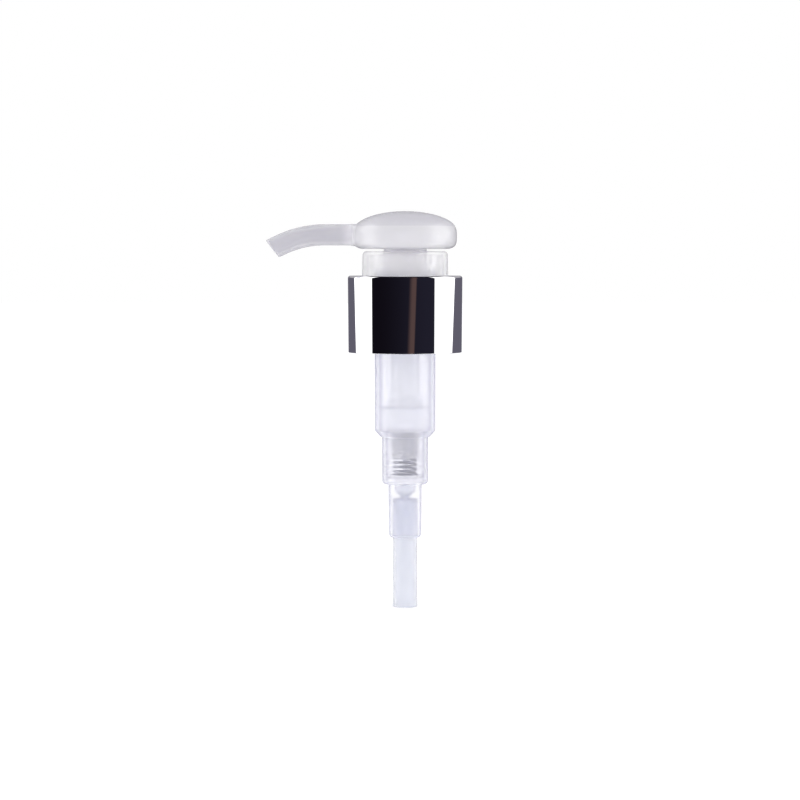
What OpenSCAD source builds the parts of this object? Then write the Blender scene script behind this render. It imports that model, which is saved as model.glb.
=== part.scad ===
/* [Closure] */
// Outside diameter of the polished metal shell
shell_d = 32.6; // [32.4:0.1:34]
// Height of the metal shell
shell_h = 21.8; // [21:0.1:23]
// Wall of the metal shell
shell_wall = 0.45; // [0.35:0.01:0.45]
// Thread root diameter inside the closure (28 mm bottle finish)
thread_root_d = 28; // [27.8:0.1:28.2]
// Thread crest diameter inside the closure
thread_crest_d = 25.6; // [25.5:0.1:25.8]
// Thread pitch
thread_pitch = 4.23; // [4:0.01:4.3]
// Turns of thread
thread_turns = 1.5; // [1:0.1:1.6]

/* [Chaplet] */
// Outside diameter of the chaplet where it enters the closure
chaplet_d = 24.54; // [24.2:0.02:24.6]
// Height of the chaplet above the closure
chaplet_rise = 6.9; // [6.8:0.1:7.4]

/* [Actuator head] */
// Widest diameter of the domed head
head_d = 29.46; // [28:0.02:30]
// Height of the head from its rim to its crown
head_h = 10.7; // [10.5:0.1:12]
// Outside diameter of the nozzle
nozzle_d = 6.02; // [5.8:0.02:6.4]
// Diameter of the nozzle's channel
channel_d = 3.8; // [3:0.1:4]
// Length of the nozzle's straight run from the pump's axis
nozzle_run = 22.9; // [20:0.1:30]
// Radius of the nozzle's bend at its centre line
bend_r = 28.87; // [20:0.01:35]
// Angle that the nozzle bends down
bend_angle = 25.5; // [10:0.5:40]
// Length of the straight tip after the bend
tip_run = 2.7; // [2:0.1:8]
// Slant of the cut across the tip
tip_slant = 12.3; // [0:0.1:20]

/* [Pump] */
// Travel of the head
stroke = 16; // [10:0.5:16]
// Outside diameter of the barrel
barrel_d = 17.4; // [17.2:0.1:17.4]
// Bore of the barrel
bore_d = 14.8; // [14.8:0.02:15]
// Diameter of the hollow stem
stem_d = 8; // [7.8:0.02:8]
// Slip of the piston along the stem, which opens the outlet valve
piston_slip = 1.2; // [0.8:0.1:1.2]

/* [Inlet] */
// Outside diameter of the dip tube
tube_d = 6.96; // [6.8:0.02:6.96]
// Bore of the dip tube
tube_bore_d = 5.4; // [5:0.1:5.6]
// Length of the dip tube below the housing
tube_drop = 20; // [10:1:220]
// Diameter of the inlet ball
ball_d = 4; // [3.8:0.1:4]
// Travel of the inlet ball off its seat
ball_lift = 1; // [0.5:0.1:1]

/* [Spring] */
// Outside diameter of the spring
spring_d = 6.8; // [6.4:0.1:6.8]
// Diameter of the spring's wire
wire_d = 0.7; // [0.5:0.05:0.7]
// Active turns of the spring
spring_turns = 8.25; // [6:0.25:9]

/* [Hidden] */

$fn = 96;
fit = 0.02;       // gap at a press or snap fit
running = 0.07;   // radial clearance of a turning or sliding fit
gap = 0.05;       // gap between faces that meet at a stop
blend_step = 0.02;  // step where the nozzle's bend meets its tip

// Gasket and housing flange: z = 0 is the gasket's underside, on the bottle's rim
gasket_t = 1.2;
gasket_r = 12.6;
flange_r = 12.65;
flange_top = 2.4;
barrel_r = barrel_d / 2;
barrel_low_r = barrel_r - 0.1;
bore_r = bore_d / 2;
barrel_top = 6;

// Closure
plate_bottom = flange_top + 0.1;
shell_top = 4.2;
shell_bottom = shell_top - shell_h;
shell_r = shell_d / 2;
shell_round = 0.4;
shell_draft = 0.17; // the closure narrows by this much towards its mouth
shell_hole_r = chaplet_d / 2 + 0.18;
cap_top = shell_top - shell_wall - gap;
cap_bottom = shell_bottom + 0.3;
cap_r = shell_r - shell_wall - gap;
plate_hole_r = 11.3;
root_r = thread_root_d / 2;
crest_r = thread_crest_d / 2;
thread_top = -3.6;
thread_embed = 0.3;
thread_root_half = 1.2;
thread_crest_half = 0.6;
thread_fade = 40;     // degrees over which the thread runs out at each end
thread_step = 15;     // degrees between rings

// Chaplet
chaplet_top = shell_top + chaplet_rise;
chaplet_r = chaplet_d / 2;
chaplet_low = cap_top + 0.2;
chaplet_wall = 1.2;
chaplet_plate = 1.1;
chaplet_round = 1;
chaplet_draft = 0.17;
neck_hole_r = 6.35;
sleeve_r = bore_r - gap;
sleeve_in_r = 6.4;
bridge_top = 7.2;
snap_r = 9.8;
cavity_r = 7.6;
guide_r = stem_d / 2 + 0.08;
stop_gap = 0.25;  // what is left between the piston and the chaplet at the top of the stroke
guide_h = 2.5;

// Bayonet: two lugs on the head's neck and two notches in the chaplet's plate
neck_r = 6.1;
lug_r = 7.1;
lug_low = 7.6;
lug_h = 1.8;
lug_angle = 30;
notch_r = 7.35;
notch_angle = 38;
lug_places = [90, 270];

// Actuator head
head_low = chaplet_top + 0.7;
head_top = head_low + head_h;
head_r = head_d / 2;
head_wall = 1.4;
dome_h = 5.6;
// Where the dome's inside wall meets the flat ceiling of the hollow, degrees up the ellipse
ceiling_at = 16;
ceiling_z = head_top - dome_h + (dome_h - head_wall) * sin(ceiling_at);
dome_base = head_top - dome_h;
rim_in_r = 12;
corner_r = 1.6;
side_low = head_low + 2.1;
nozzle_r = nozzle_d / 2;
channel_r = channel_d / 2;
nozzle_z = dome_base - 1.09;
neck_bottom = 3.4;
socket_top = 13.6;

// Stem and valve plug, in the pressed-down position
stem_r = stem_d / 2;
stem_top = socket_top - 0.1;
shoulder_z = -30;
guide_bottom = shoulder_z - gap + stroke + stop_gap;
stem_neck_r = 3.3;
stem_bottom = -36;
stem_bore_r = 2.4;
groove_r = 2.75;
groove_z = -31;
groove_h = 1;
port_w = 1.6;
port_h = 2.6;
shank_r = stem_bore_r - running;
shank_top = -25.5;
plug_r = 3.25;
valve_z = -39.55;
valve_r = 5.1;
valve_t = 1.15;
plug_sleeve_r = 4.1;
plug_sleeve_in_r = 3.5;
plug_sleeve_bottom = -47.8;
pin_r = 0.8;
pin_bottom = -52.6;
flute_r = 0.8;

// Piston
hub_top = shoulder_z - gap - piston_slip;
hub_bottom = valve_z + gap;
hub_r = 5;
hub_in_r = 4.2;
lip_r = bore_r - 0.03;
land_r = bore_r - 0.2;
skirt_in_r = 6.4;
lip_top = -33.3;
lip_bottom = -39.2;

// Housing below the closure
ball_r = ball_d / 2;
floor_z = -39.5;
step1_z = -41.7;
mid_r = 6.54;
mid_bore_r = 5.5;
mid_bore_top = -41.2;
step2_z = -55.2;
mid_round = 1.7;
seat_floor = -54.3;
tail_r = 4.64;
tail_bottom = -70.5;
chamber_r = 2.9;
port_r = 1.2;
cone_low = seat_floor - gap - ball_lift - ball_r * (1 + sqrt(2)) + port_r;
socket_z = cone_low - 0.6;
vent_r = 0.6;
vent_z = -15.5;

// Inlet ball, held just off its 45 degree seat
ball_z = cone_low - port_r + ball_r * sqrt(2) + fit;
retainer_bottom = seat_floor + gap;
retainer_top = -53.4;
retainer_r = mid_bore_r - gap;
retainer_hole_r = 1.1;
rim_h = 0.8;
slot_r = 2.5;
slot_angle = 50;

// Dip tube
tube_r = tube_d / 2;
tube_top = socket_z - gap;
tube_bottom = tail_bottom - tube_drop;

// Spring
coil_r = (spring_d - wire_d) / 2;
wire_r = wire_d / 2;
spring_low = retainer_top + fit + wire_r;
spring_high = valve_z - valve_t - fit - wire_r;
end_pitch = wire_d + fit;
turns_all = spring_turns + 2;
coil_pitch = (spring_high - spring_low - 2 * end_pitch) / spring_turns;
coil_steps = 16;      // rings in each turn of the coil
wire_sides = 8;

// Points of an arc round c, with radii rx and ry, from angle a0 to a1
function arc(c, rx, ry, a0, a1, steps = 8) = [
    for (i = [0:steps])
        let (a = a0 + (a1 - a0) * i / steps)
        c + [rx * cos(a), ry * sin(a)]
];

// Height of the coil's centre line above its low end after t turns
function coil_rise(t) =
    end_pitch * min(t, 1)
    + coil_pitch * max(0, min(t - 1, spring_turns))
    + end_pitch * max(0, t - 1 - spring_turns);

// A solid of revolution about the pump's axis
module revolve(points) {
    rotate_extrude()
        polygon(points);
}

// A sector of a rectangular ring
module ring_sector(inner, outer, low, high, middle, angle) {
    rotate([0, 0, middle - angle / 2])
        rotate_extrude(angle = angle)
            translate([inner, low])
                square([outer - inner, high - low]);
}

// A solid swept through rings of points that follow each other
module sweep(rings) {
    n = len(rings);
    k = len(rings[0]);
    sides = [
        for (i = [0:n - 2], j = [0:k - 1])
            let (a = i * k + j, b = i * k + (j + 1) % k)
            each [[a, b, b + k], [a, b + k, a + k]]
    ];
    first = [for (j = [k - 1:-1:0]) j];
    last = [for (j = [0:k - 1]) (n - 1) * k + j];
    polyhedron([for (ring = rings) each ring], concat(sides, [first, last]));
}

// The nozzle's path as a round bar, from the pump's axis to past its slanted tip
module nozzle_bar(r, start) {
    translate([-start, 0, nozzle_z])
        rotate([0, -90, 0])
            cylinder(r = r - blend_step, h = nozzle_run - start);
    translate([-nozzle_run, 0, nozzle_z - bend_r])
        rotate([90, 0, 0])
            rotate([0, 0, 90])
                rotate_extrude(angle = bend_angle)
                    translate([bend_r, 0])
                        circle(r = r - blend_step);
    nozzle_tip()
        translate([0, 0, -5 * blend_step])
            cylinder(r = r, h = tip_run + nozzle_r);
}

// Places its children at the bend's end, with +Z along the nozzle
module nozzle_tip() {
    translate([-nozzle_run, 0, nozzle_z - bend_r])
        rotate([0, -bend_angle, 0])
            translate([0, 0, bend_r])
                rotate([0, -90, 0])
                    children();
}

module actuator_head() {
    color("gainsboro")
    difference() {
        union() {
            revolve(concat(
                arc([0, dome_base], head_r, dome_h, 90, 0, 14),
                [[head_r, side_low]],
                arc([head_r - corner_r, side_low - 0.2], corner_r, corner_r * 0.9, 0, -60, 5),
                [
                    [rim_in_r + 0.7, head_low],
                    [rim_in_r, head_low],
                    [rim_in_r, head_low + 0.7],
                    [head_r - head_wall, side_low]
                ],
                arc([0, dome_base], head_r - head_wall, dome_h - head_wall, 0, ceiling_at, 4),
                [
                    [neck_r, ceiling_z],
                    [neck_r, neck_bottom + 0.3],
                    [neck_r - 0.3, neck_bottom],
                    [stem_r + fit, neck_bottom],
                    [stem_r + fit, socket_top],
                    [stem_bore_r, socket_top],
                    [stem_bore_r, nozzle_z],
                    [0, nozzle_z]
                ]
            ));
            nozzle_bar(nozzle_r, neck_r - 1);
            for (a = lug_places)
                ring_sector(neck_r - 0.3, lug_r, lug_low, lug_low + lug_h, a, lug_angle);
        }
        nozzle_bar(channel_r, 0);
        nozzle_tip()
            translate([0, 0, tip_run])
                rotate([0, -tip_slant, 0])
                    translate([-head_r, -head_r, 0])
                        cube([head_d, head_d, head_d]);
    }
}

module stem() {
    color("white")
    difference() {
        revolve([
            [stem_bore_r, stem_top],
            [stem_r - 0.3, stem_top],
            [stem_r, stem_top - 0.3],
            [stem_r, shoulder_z],
            [stem_neck_r, shoulder_z],
            [stem_neck_r, stem_bottom],
            [stem_bore_r, stem_bottom],
            [stem_bore_r, groove_z - groove_h / 2],
            [groove_r, groove_z - groove_h / 2],
            [groove_r, groove_z + groove_h / 2],
            [stem_bore_r, groove_z + groove_h / 2]
        ]);
        for (a = [0, 90])
            rotate([0, 0, a])
                translate([-stem_d / 2, -port_w / 2, stem_bottom - 1])
                    cube([stem_d, port_w, port_h + 1]);
    }
}

module valve_plug() {
    color("white")
    difference() {
        revolve([
            [0, shank_top],
            [shank_r - 0.5, shank_top],
            [shank_r, shank_top - 1],
            [shank_r, groove_z + 0.35],
            [groove_r - 0.13, groove_z + 0.1],
            [groove_r - 0.13, groove_z - 0.3],
            [shank_r, groove_z - 0.4],
            [shank_r, stem_bottom - gap],
            [plug_r, stem_bottom - gap],
            [plug_r, valve_z + 1.15],
            [hub_in_r - 0.2, valve_z],
            [valve_r, valve_z],
            [valve_r, valve_z - valve_t],
            [plug_sleeve_r, valve_z - valve_t],
            [plug_sleeve_r, plug_sleeve_bottom],
            [plug_sleeve_in_r, plug_sleeve_bottom],
            [plug_sleeve_in_r, valve_z - valve_t],
            [pin_r, valve_z - valve_t],
            [pin_r, pin_bottom + 0.4],
            [pin_r / 2, pin_bottom],
            [0, pin_bottom]
        ]);
        for (a = [45:90:315])
            rotate([0, 0, a])
                translate([shank_r + 0.2, 0, stem_bottom - 1.5])
                    cylinder(r = flute_r, h = shank_top - stem_bottom + 3);
    }
}

module piston() {
    web = 0.6;
    web_z = (lip_top + lip_bottom) / 2;
    color("white")
    revolve([
        [hub_in_r, hub_bottom],
        [hub_in_r, -33.4],
        [stem_neck_r + gap, -33],
        [stem_neck_r + gap, hub_top],
        [hub_r - 0.4, hub_top],
        [hub_r, hub_top - 0.4],
        [hub_r, web_z + web],
        [skirt_in_r, web_z + web],
        [skirt_in_r, lip_top - 0.4],
        [lip_r - 0.3, lip_top],
        [lip_r, lip_top - 0.2],
        [land_r, lip_top - 1.5],
        [land_r, lip_bottom + 1.5],
        [lip_r, lip_bottom + 0.2],
        [lip_r - 0.3, lip_bottom],
        [skirt_in_r, lip_bottom + 0.4],
        [skirt_in_r, web_z - web],
        [hub_r, web_z - web],
        [hub_r, hub_bottom]
    ]);
}

module chaplet() {
    top_r = chaplet_r - chaplet_draft;
    under = chaplet_top - chaplet_plate;
    color("gainsboro")
    difference() {
        revolve(concat(
            [[neck_hole_r, under], [neck_hole_r, chaplet_top]],
            arc(
                [top_r - chaplet_round, chaplet_top - chaplet_round],
                chaplet_round, chaplet_round, 90, 0, 6
            ),
            [
                [chaplet_r, chaplet_low],
                [chaplet_r - chaplet_wall, chaplet_low],
                [top_r - chaplet_wall, under],
                [snap_r, under],
                [snap_r, chaplet_low],
                [barrel_r + gap, chaplet_low],
                [barrel_r + gap, barrel_top + gap],
                [sleeve_r, barrel_top + gap],
                [sleeve_r, guide_bottom],
                [guide_r, guide_bottom],
                [guide_r, guide_bottom + guide_h],
                [sleeve_in_r, guide_bottom + guide_h + 1.5],
                [sleeve_in_r, bridge_top],
                [cavity_r, bridge_top],
                [cavity_r, under]
            ]
        ));
        for (a = lug_places)
            ring_sector(neck_hole_r - 0.5, notch_r, under - 0.5, chaplet_top + 1, a, notch_angle);
    }
}

module housing() {
    color("aliceblue")
    difference() {
        revolve(concat(
            [
                [bore_r, barrel_top],
                [barrel_r - 0.3, barrel_top],
                [barrel_r, barrel_top - 0.3],
                [barrel_r, flange_top],
                [flange_r, flange_top],
                [flange_r, gasket_t],
                [barrel_r, gasket_t],
                [barrel_low_r, step1_z + 1.7],
                [barrel_low_r - 1.6, step1_z],
                [mid_r, step1_z]
            ],
            arc([mid_r - mid_round, step2_z + mid_round], mid_round, mid_round, 0, -90, 6),
            [
                [tail_r, step2_z],
                [tail_r, tail_bottom + 0.7],
                [tail_r - 0.6, tail_bottom],
                [tube_r + fit, tail_bottom],
                [tube_r + fit, socket_z],
                [port_r, socket_z],
                [port_r, cone_low],
                [chamber_r, cone_low + chamber_r - port_r],
                [chamber_r, seat_floor],
                [mid_bore_r, seat_floor],
                [mid_bore_r, mid_bore_top],
                [bore_r, floor_z]
            ]
        ));
        translate([0, 0, vent_z])
            rotate([-90, 0, 0])
                cylinder(r = vent_r, h = barrel_d);
    }
}

module gasket() {
    color("whitesmoke")
    difference() {
        cylinder(r = gasket_r, h = gasket_t - fit);
        translate([0, 0, -1])
            cylinder(r = barrel_r + fit, h = gasket_t + 2);
    }
}

module closure_cap() {
    n = round(360 * thread_turns / thread_step);
    color("white")
    union() {
        revolve([
            [plate_hole_r, plate_bottom],
            [plate_hole_r, cap_top],
            [cap_r, cap_top],
            [cap_r - shell_draft, cap_bottom],
            [root_r + 0.3, cap_bottom],
            [root_r, cap_bottom + 0.6],
            [root_r, plate_bottom]
        ]);
        sweep([
            for (i = [0:n])
                let (
                    a = i * thread_step,
                    full = min(1, a / thread_fade, (n * thread_step - a) / thread_fade),
                    tip_r = root_r + 0.1 - (root_r + 0.1 - crest_r) * full,
                    z = thread_top - thread_pitch * (thread_turns - a / 360)
                )
                [
                    for (p = [
                        [root_r + thread_embed, thread_root_half],
                        [tip_r, thread_crest_half],
                        [tip_r, -thread_crest_half],
                        [root_r + thread_embed, -thread_root_half]
                    ])
                    [p.x * cos(a), p.x * sin(a), z + p.y]
                ]
        ]);
    }
}

module metal_shell() {
    color("silver")
    revolve(concat(
        [[shell_hole_r, shell_top - shell_wall], [shell_hole_r, shell_top]],
        arc(
            [shell_r - shell_round, shell_top - shell_round],
            shell_round, shell_round, 90, 0, 5
        ),
        [
            [shell_r - shell_draft, shell_bottom],
            [shell_r - shell_draft - shell_wall, shell_bottom],
            [shell_r - shell_wall, shell_top - shell_wall]
        ]
    ));
}

module spring() {
    n = round(turns_all * coil_steps);
    color("lightsteelblue")
    sweep([
        for (i = [0:n])
            let (t = i / coil_steps, a = 360 * t)
            [
                for (j = [0:wire_sides - 1])
                    let (
                        b = -360 * j / wire_sides,
                        r = coil_r + wire_r * cos(b)
                    )
                    [r * cos(a), r * sin(a), spring_low + coil_rise(t) + wire_r * sin(b)]
            ]
    ]);
}

module ball_retainer() {
    color("white")
    difference() {
        revolve([
            [retainer_hole_r, retainer_bottom],
            [retainer_r, retainer_bottom],
            [retainer_r, retainer_top],
            [coil_r + wire_r + 0.9, retainer_top],
            [coil_r + wire_r + 0.9, retainer_top + rim_h],
            [coil_r + wire_r + 0.2, retainer_top + rim_h],
            [coil_r + wire_r + 0.2, retainer_top],
            [retainer_hole_r, retainer_top]
        ]);
        for (a = [0:120:240])
            ring_sector(
                retainer_hole_r - 0.2, slot_r, retainer_bottom - 1, retainer_top + 1, a, slot_angle
            );
    }
}

module inlet_ball() {
    color("lightcyan")
    translate([0, 0, ball_z])
        sphere(r = ball_r);
}

module dip_tube() {
    color("aliceblue")
    difference() {
        translate([0, 0, tube_bottom])
            cylinder(r = tube_r, h = tube_top - tube_bottom);
        translate([0, 0, tube_bottom - 1])
            cylinder(r = tube_bore_d / 2, h = tube_top - tube_bottom + 2);
    }
}

actuator_head();
stem();
valve_plug();
piston();
chaplet();
housing();
gasket();
closure_cap();
metal_shell();
spring();
ball_retainer();
inlet_ball();
dip_tube();
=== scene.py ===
"""A bottle dispensing pump, pressed down: the visible pieces, their materials and the studio.

Lengths below are in millimetres and become metres where a mesh or light is made. The pump's axis
is Z, the nozzle points along -X, and z = 0 is the bottle's rim, as in the CAD frame.
"""
import math

import bmesh
import bpy
import numpy as np
from mathutils import Matrix, Vector


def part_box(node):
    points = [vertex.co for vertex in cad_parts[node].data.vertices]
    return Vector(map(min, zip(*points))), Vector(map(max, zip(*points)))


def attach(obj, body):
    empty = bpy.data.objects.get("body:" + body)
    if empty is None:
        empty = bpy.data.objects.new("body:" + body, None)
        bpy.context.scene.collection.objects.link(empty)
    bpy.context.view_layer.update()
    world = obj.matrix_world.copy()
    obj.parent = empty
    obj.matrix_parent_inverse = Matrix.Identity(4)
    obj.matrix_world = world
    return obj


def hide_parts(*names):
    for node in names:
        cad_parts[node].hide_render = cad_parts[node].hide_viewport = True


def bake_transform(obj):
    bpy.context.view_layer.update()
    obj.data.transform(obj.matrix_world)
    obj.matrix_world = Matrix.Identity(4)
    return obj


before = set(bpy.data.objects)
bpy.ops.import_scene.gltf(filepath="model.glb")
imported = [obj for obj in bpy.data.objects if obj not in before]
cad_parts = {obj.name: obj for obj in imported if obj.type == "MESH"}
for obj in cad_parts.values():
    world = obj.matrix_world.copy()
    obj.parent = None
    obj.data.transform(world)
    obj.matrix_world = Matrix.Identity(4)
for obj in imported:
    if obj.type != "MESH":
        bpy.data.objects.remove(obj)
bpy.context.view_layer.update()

MM = 0.001
SEGMENTS = 128          # sides of a turned piece
CORNER_STEPS = 5        # edges in each rounded corner of a profile
SHARP_ANGLE = 40        # degrees: edges that turn more than this stay sharp
NORMAL_WEIGHT = 80      # how far large faces rule the even normals, in percent
ON_AXIS = 1e-6          # mm: a profile point this near the axis is a pole


def low_high(node):
    """Lowest and highest corner of a CAD node in millimetres."""
    low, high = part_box(node)
    return low / MM, high / MM


# ---------------------------------------------------------------- sizes taken from the frame

SHELL_LOW, SHELL_HIGH = low_high("metal_shell")
HEAD_LOW, HEAD_HIGH = low_high("actuator_head")
CHAPLET_LOW, CHAPLET_HIGH = low_high("chaplet")
HOUSING_LOW, HOUSING_HIGH = low_high("housing")
TUBE_LOW, TUBE_HIGH = low_high("dip_tube")
CAP_LOW, CAP_HIGH = low_high("closure_cap")
STEM_LOW, STEM_HIGH = low_high("stem")
PISTON_LOW, PISTON_HIGH = low_high("piston")
SPRING_LOW, SPRING_HIGH = low_high("spring")
GASKET_LOW, GASKET_HIGH = low_high("gasket")

SHELL_R = SHELL_HIGH.x
SHELL_TOP = SHELL_HIGH.z
HEAD_R = HEAD_HIGH.x
HEAD_TOP = HEAD_HIGH.z
CHAPLET_R = CHAPLET_HIGH.x
CHAPLET_TOP = CHAPLET_HIGH.z
HEAD_RIM = CHAPLET_TOP + 0.7
TUBE_R = TUBE_HIGH.x
STEM_R = STEM_HIGH.x

# ---------------------------------------------------------------- the CAD's sizes that no box gives

BORE_R = 7.4            # the barrel's bore, in which the piston runs
LOWER_BORE_R = 5.5      # the second step's bore, in which the spring stands
BARREL_FLOOR = -39.5
BARREL_R = 8.7
GASKET_TOP = 1.2
FLANGE_R = 12.65
FLANGE_TOP = 2.4
PLATE_LOW = FLANGE_TOP + 0.1    # the closure's top plate
PLATE_HOLE_R = 11.3
GASKET_HOLE_R = 8.72
SHELL_WALL = 0.45
CLOSURE_DRAFT = 0.17    # how much narrower the closure is at its mouth
STEM_BORE_R = 2.4
STEM_NECK_R = 3.3
SOCKET_FIT = 0.03       # radial clearances
GUIDE_FIT = 0.08
TUBE_FIT = 0.02
SHELL_FIT = 0.18

# ---------------------------------------------------------------- mesh tools


def rounded(corners):
    """Profile points (r, z) from corners (r, z, fillet radius), followed as a closed outline."""
    points = []
    count = len(corners)
    for i, (r, z, fillet) in enumerate(corners):
        corner = Vector((r, z))
        if fillet <= 0:
            points.append(corner)
            continue
        before = Vector(corners[i - 1][:2]) - corner
        after = Vector(corners[(i + 1) % count][:2]) - corner
        half = before.angle(after) / 2
        reach = min(fillet / math.tan(half), 0.49 * before.length, 0.49 * after.length)
        start = corner + before.normalized() * reach
        end = corner + after.normalized() * reach
        bisector = (before.normalized() + after.normalized()).normalized()
        centre = corner + bisector * (reach / math.cos(half))
        a, b = start - centre, end - centre
        turn = a.angle_signed(b)
        for k in range(CORNER_STEPS + 1):
            swing = Matrix.Rotation(-turn * k / CORNER_STEPS, 2)
            points.append(centre + swing @ a)
    return points


def ellipse(centre_z, rx, rz, start, end, steps):
    """Profile points on an ellipse round the axis, from start to end degrees above its middle."""
    angles = np.radians(np.linspace(start, end, steps + 1))
    return [Vector((rx * math.cos(a), centre_z + rz * math.sin(a))) for a in angles]


def new_object(name, data):
    thing = bpy.data.objects.new(name, data)
    bpy.context.scene.collection.objects.link(thing)
    return thing


def shade_smooth(mesh):
    """Smooth faces that stay sharp at the corners."""
    mesh.polygons.foreach_set("use_smooth", [True] * len(mesh.polygons))
    mesh.set_sharp_from_angle(angle=math.radians(SHARP_ANGLE))


def even_normals(piece):
    weighted = piece.modifiers.new("even_normals", "WEIGHTED_NORMAL")
    weighted.keep_sharp = True
    weighted.weight = NORMAL_WEIGHT
    return piece


def finish_mesh(name, bm, smooth_normals=True):
    """An object from a bmesh in millimetres, with smooth faces, sharp corners and even normals."""
    bmesh.ops.recalc_face_normals(bm, faces=bm.faces)
    bmesh.ops.scale(bm, vec=(MM, MM, MM), verts=bm.verts)
    mesh = bpy.data.meshes.new(name)
    bm.to_mesh(mesh)
    bm.free()
    shade_smooth(mesh)
    piece = new_object(name, mesh)
    return even_normals(piece) if smooth_normals else piece


def turned_bmesh(profile, segments=SEGMENTS, shift=None):
    """A closed profile turned round the axis. shift(angle, r, z) may move a point's radius."""
    bm = bmesh.new()
    columns = []
    poles = {}
    for k in range(segments):
        angle = 2 * math.pi * k / segments
        column = []
        for i, p in enumerate(profile):
            if abs(p.x) < ON_AXIS:
                if i not in poles:
                    poles[i] = bm.verts.new((0, 0, p.y))
                column.append(poles[i])
                continue
            r = p.x if shift is None else shift(angle, p.x, p.y)
            column.append(bm.verts.new((r * math.cos(angle), r * math.sin(angle), p.y)))
        columns.append(column)
    count = len(profile)
    for k in range(segments):
        here, there = columns[k], columns[(k + 1) % segments]
        for i in range(count):
            corners = [here[i], here[(i + 1) % count], there[(i + 1) % count], there[i]]
            face = list(dict.fromkeys(corners))
            if len(face) > 2:
                bm.faces.new(face)
    return bm


def turned(name, corners, **options):
    return finish_mesh(name, turned_bmesh(rounded(corners), **options))


def tube_bmesh(rings):
    """Rings of points, one after the other, joined by faces and closed at both ends."""
    bm = bmesh.new()
    loops = [[bm.verts.new(p) for p in ring] for ring in rings]
    sides = len(loops[0])
    for a, b in zip(loops, loops[1:]):
        for j in range(sides):
            k = (j + 1) % sides
            bm.faces.new((a[j], a[k], b[k], b[j]))
    bm.faces.new(loops[0][::-1])
    bm.faces.new(loops[-1])
    return bm


def boolean(piece, cutter, operation):
    """Applies an exact boolean to piece and removes the cutter."""
    modifier = piece.modifiers.new("boolean", "BOOLEAN")
    modifier.operation = operation
    modifier.object = cutter
    modifier.solver = "EXACT"
    apply_modifiers(piece)
    bpy.data.objects.remove(cutter)


def apply_modifiers(piece):
    graph = bpy.context.evaluated_depsgraph_get()
    mesh = bpy.data.meshes.new_from_object(piece.evaluated_get(graph))
    piece.modifiers.clear()
    piece.data = mesh
    return piece


def soften(piece):
    """Smooth faces, sharp corners and even normals, after the last boolean."""
    shade_smooth(piece.data)
    return even_normals(piece)


# ---------------------------------------------------------------- nozzle path

NOZZLE_R = 3.01
CHANNEL_R = 1.9
NOZZLE_Z = HEAD_TOP - 6.69
NOZZLE_RUN = 22.9       # from the pump's axis to where the bend starts
BEND_R = 28.87
BEND_ANGLE = math.radians(25.5)
TIP_RUN = 2.7           # straight again after the bend
TIP_SLANT = math.radians(12.3)


def nozzle_place(s):
    """(centre, direction) on the nozzle's centre line, s mm from the pump's axis."""
    bend = BEND_R * BEND_ANGLE
    if s <= NOZZLE_RUN:
        return Vector((-s, 0, NOZZLE_Z)), Vector((-1, 0, 0))
    angle = min((s - NOZZLE_RUN) / BEND_R, BEND_ANGLE)
    centre = Vector((
        -NOZZLE_RUN - BEND_R * math.sin(angle), 0, NOZZLE_Z - BEND_R * (1 - math.cos(angle))
    ))
    direction = Vector((-math.cos(angle), 0, -math.sin(angle)))
    rest = max(0.0, s - NOZZLE_RUN - bend)
    return centre + direction * rest, direction


NOZZLE_END = NOZZLE_RUN + BEND_R * BEND_ANGLE + TIP_RUN


def nozzle_ring(s, radius, sides, slant=0.0):
    """A ring of points round the nozzle's centre line; slant tilts it like the cut at the tip."""
    centre, direction = nozzle_place(s)
    up = Vector((direction.z, 0, -direction.x))
    ring = []
    for j in range(sides):
        angle = 2 * math.pi * j / sides
        rise = radius * math.cos(angle)
        side = radius * math.sin(angle)
        along = math.tan(slant) * rise
        ring.append(centre + up * rise + Vector((0, side, 0)) + direction * along)
    return ring


# ---------------------------------------------------------------- the head

HEAD_WALL = 1.4
DOME_HIGH = 5.6
DOME_BASE = HEAD_TOP - DOME_HIGH
CEILING_AT = 16         # degrees up the ellipse where the wall meets the hollow's flat ceiling
CEILING_Z = DOME_BASE + (DOME_HIGH - HEAD_WALL) * math.sin(math.radians(CEILING_AT))
SIDE_LOW = HEAD_RIM + 2.1
RIM_IN_R = 12.0
NECK_R = 6.1
NECK_LOW = HEAD_LOW.z
SOCKET_TOP = 13.6
LUG_R = 7.1
LUG_LOW, LUG_HIGH = 7.6, 9.4
LUG_HALF = math.radians(15)
LUG_PLACES = (math.pi / 2, -math.pi / 2)
SHARP_STEP = 0.05       # half the height over which a lug's end steps in or out
CAGE_SIDES = 60         # columns of the head's control cage
CAGE_LEVELS = 2         # how often the cage is subdivided
PATCH_HALF = 2          # columns each side of the nozzle that its root takes up
PATCH_TOP = 8           # the cage's ring above the nozzle's root
PATCH_BOTTOM = 12       # the ring below it
NOZZLE_SIDES = 16
NOZZLE_ROOT = 15.0      # where the blend into the dome ends


def cage_swell(sides):
    """How much wider a ring of the control cage is than the smooth ring it makes."""
    return 3 / (2 + math.cos(2 * math.pi / sides))


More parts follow.
